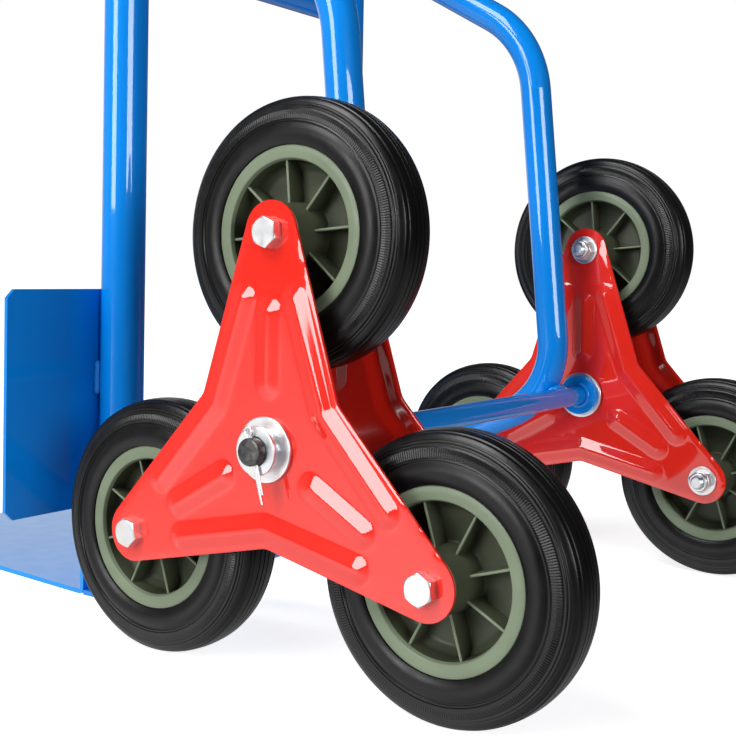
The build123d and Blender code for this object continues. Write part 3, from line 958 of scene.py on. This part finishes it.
def grip_axis(node, along):
    """The point nearest the origin on the axis of a grip."""
    total, count = Vector(), 0
    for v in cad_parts[node].data.vertices:
        total += v.co - along * v.co.dot(along)
        count += 1
    return total / count


PIN_TILT = math.radians(16)
WIRE_R = 0.8
EYE_R = 2.6
EYE_RISE = 11.4
# Points along each leg of a pin, measured from the axle's centre, from tip to eye and back
LONG_LEG = (-29.7, -20.0, -11.0, 0.0, 7.5)
SHORT_LEG = (7.5, 0.0, -11.0, -18.0, -24.5)


def make_split_pins():
    """One bent wire each: two legs side by side through the axle, and a round eye on top."""
    own = [v.co.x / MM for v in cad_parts["split_pins"].data.vertices if v.co.x > 0]
    middle = (min(own) + max(own)) / 2
    up = Vector((0, -math.sin(PIN_TILT), math.cos(PIN_TILT)))
    across = Vector((0, up.z, -up.y))
    hub = Vector((0, HUB.y / MM, HUB.z / MM))
    parts = []
    for sign in (1, -1):
        centre = hub + Vector((sign * middle, 0, 0))
        long_leg = [centre - across * WIRE_R + up * t for t in LONG_LEG]
        short_leg = [centre + across * WIRE_R + up * t for t in SHORT_LEG]
        eye = []
        for step in range(17):
            angle = math.radians(250 - 20 * step)
            eye.append(centre + up * (EYE_RISE + EYE_R * math.sin(angle)) + across * (EYE_R * math.cos(angle)))
        line = long_leg + eye + short_leg
        radii = [WIRE_R] * len(line)
        radii[0] = radii[-1] = WIRE_R * 0.7
        parts.append(sweep(line, radii, False, lambda point: Vector((1, 0, 0))))
    piece("split_pins_wire", *merge(parts), [ZINC], "frame", "zinc_plate", ["split_pins"], 50)


# ---------------------------------------------------------------- carried-over CAD nodes

# The toe plate takes the lighter copy of the frame paint, which is painted light
NODE_LOOKS = {
    "upright": FRAME_PAINT, "strut": FRAME_PAINT, "crossbar": FRAME_PAINT, "toe_plate": TOE_PAINTED_LIGHT,
    "foot_plate": FRAME_PAINT, "wheel_guard": FRAME_PAINT,
    "hub_bushes": BUSH, "spacer_tubes": ZINC, "bush": BUSH,
}


def dress_cad_nodes():
    """Every CAD node gets its look; bare sheet edges are softened by a bevel."""
    for name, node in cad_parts.items():
        found = [look for ending, look in NODE_LOOKS.items() if name.endswith(ending)]
        if not found:
            continue
        node.data.materials.clear()
        node.data.materials.append(found[0])
        if name.endswith(("toe_plate", "foot_plate", "wheel_guard")):
            bevel = node.modifiers.new("edge", "BEVEL")
            bevel.width = 0.6 * MM
            bevel.segments = 2
            bevel.limit_method = "ANGLE"
            bevel.angle_limit = math.radians(50)


# ---------------------------------------------------------------- stage, light and camera

CAMERA_YAW = math.radians(34.93)


def make_stage():
    size = 12.0
    mesh = bpy.data.meshes.new("studio_floor")
    corners = [(-size, -size, 0), (size, -size, 0), (size, size, 0), (-size, size, 0)]
    mesh.from_pydata(corners, [], [(0, 1, 2, 3)])
    mesh.materials.append(FLOOR)
    floor = bpy.data.objects.new("studio_floor", mesh)
    bpy.context.scene.collection.objects.link(floor)
    floor.visible_diffuse = False
    floor.visible_glossy = False


def area_light(name, azimuth, distance, height, width, tall, radiance, aim):
    """Soft box on a circle round the object. Azimuth is from +X towards +Y."""
    light = bpy.data.lights.new(name, "AREA")
    light.shape = "RECTANGLE"
    light.size = width
    light.size_y = tall
    light.energy = radiance * math.pi * width * tall
    made = bpy.data.objects.new(name, light)
    angle = math.radians(azimuth)
    made.location = Vector((distance * math.cos(angle), distance * math.sin(angle), height))
    made.rotation_euler = (aim - made.location).to_track_quat("-Z", "Y").to_euler()
    bpy.context.scene.collection.objects.link(made)
    return made


def make_world():
    """A white surround to look at. What lights the object is a dark studio with a white backdrop
    beyond the toe plate and a floor that is brightest beside the near star."""
    world = bpy.data.worlds.new("studio")
    bpy.context.scene.world = world
    world.use_nodes = True
    nodes, links = world.node_tree.nodes, world.node_tree.links

    def math_node(operation, *sources):
        node = nodes.new("ShaderNodeMath")
        node.operation = operation
        for socket, source in zip(node.inputs, sources):
            if isinstance(source, (int, float)):
                socket.default_value = source
            else:
                links.new(source, socket)
        return node.outputs["Value"]

    def span(value, low, high, to_low, to_high):
        node = nodes.new("ShaderNodeMapRange")
        for socket, number in zip(("From Min", "From Max", "To Min", "To Max"), (low, high, to_low, to_high)):
            node.inputs[socket].default_value = number
        links.new(value, node.inputs["Value"])
        return node.outputs["Result"]

    direction = nodes.new("ShaderNodeTexCoord").outputs["Generated"]

    def towards(azimuth, elevation):
        """Cosine of the angle between the ray and a direction given in degrees."""
        product = nodes.new("ShaderNodeVectorMath")
        product.operation = "DOT_PRODUCT"
        links.new(direction, product.inputs[0])
        around, up = math.radians(azimuth), math.radians(elevation)
        product.inputs[1].default_value = (math.cos(around) * math.cos(up), math.sin(around) * math.cos(up),
                                           math.sin(up))
        return product.outputs["Value"]

    split = nodes.new("ShaderNodeSeparateXYZ")
    links.new(direction, split.inputs["Vector"])
    height = split.outputs["Z"]
    backdrop = math_node("MULTIPLY", span(towards(238, 0), 0.82, 0.96, 0, 1.0), span(height, -0.1, 0.02, 0, 1))
    lit_floor = math_node("POWER", span(towards(-24, -12), 0.75, 0.985, 0, 1), 3)
    lit_floor = math_node("MULTIPLY", lit_floor, span(height, -0.005, -0.07, 0, 1.5))
    ground = math_node("MULTIPLY", span(height, -0.1, -0.5, 0, 1.4), span(towards(-50, 0), 0.0, 0.75, 0.35, 1))
    side_wall = span(towards(-70, 8), 0.85, 0.97, 0, 0.3)
    total = math_node("ADD", math_node("ADD", backdrop, ground), math_node("ADD", lit_floor, 0.06))
    total = math_node("ADD", total, side_wall)

    seen = nodes["Background"]
    seen.inputs["Color"].default_value = (1, 1, 1, 1)
    seen.inputs["Strength"].default_value = 1.02
    studio = nodes.new("ShaderNodeBackground")
    links.new(total, studio.inputs["Strength"])
    mix = nodes.new("ShaderNodeMixShader")
    links.new(nodes.new("ShaderNodeLightPath").outputs["Is Camera Ray"], mix.inputs["Fac"])
    links.new(studio.outputs["Background"], mix.inputs[1])
    links.new(seen.outputs["Background"], mix.inputs[2])
    links.new(mix.outputs["Shader"], nodes["World Output"].inputs["Surface"])


def make_lights():
    make_world()
    area_light("left_strip", -12.5, 6.0, 1.88, 2.5, 2.65, 10.5, Vector((0, 0, 1.88)))
    area_light("right_strip", 68, 6.0, 1.46, 2.9, 1.57, 10.5, Vector((0, 0, 1.46)))
    area_light("key_box", -12, 1.7, 2.2, 1.2, 1.2, 10, Vector((0.15, 0, 0.2)))


def make_camera():
    """Behind the left wheel and slightly above the axle, looking forward and down along the truck."""
    yaw, pitch, roll = CAMERA_YAW, math.radians(1.41), math.radians(1.02)
    forward = Vector((-math.cos(yaw) * math.cos(pitch), -math.sin(yaw) * math.cos(pitch), -math.sin(pitch)))
    right = Vector((-math.sin(yaw), math.cos(yaw), 0))
    up = right.cross(forward)
    side = right * math.cos(roll) + up * math.sin(roll)
    top = up * math.cos(roll) - right * math.sin(roll)
    turn = Matrix((side, top, -forward)).transposed().to_4x4()
    data = bpy.data.cameras.new("camera")
    data.sensor_width = 36.0
    data.lens = 58.84
    data.shift_y = -0.0924
    camera = bpy.data.objects.new("camera", data)
    camera.matrix_world = Matrix.Translation(HUB + Vector((0.7638, 0.4332, 0.1020))) @ turn
    bpy.context.scene.collection.objects.link(camera)
    bpy.context.scene.camera = camera


for side in SIDES:
    for arm in ARM_ANGLES:
        make_tyre(side, arm)
        make_rim(side, arm)
    make_star_plates(side)
    make_bolts(side)
    make_seams(side)
    make_grip(side)
make_split_pins()
make_hub_rings()
make_axle()
dress_cad_nodes()
make_stage()
make_lights()
make_camera()
bpy.context.scene.view_settings.view_transform = "Standard"
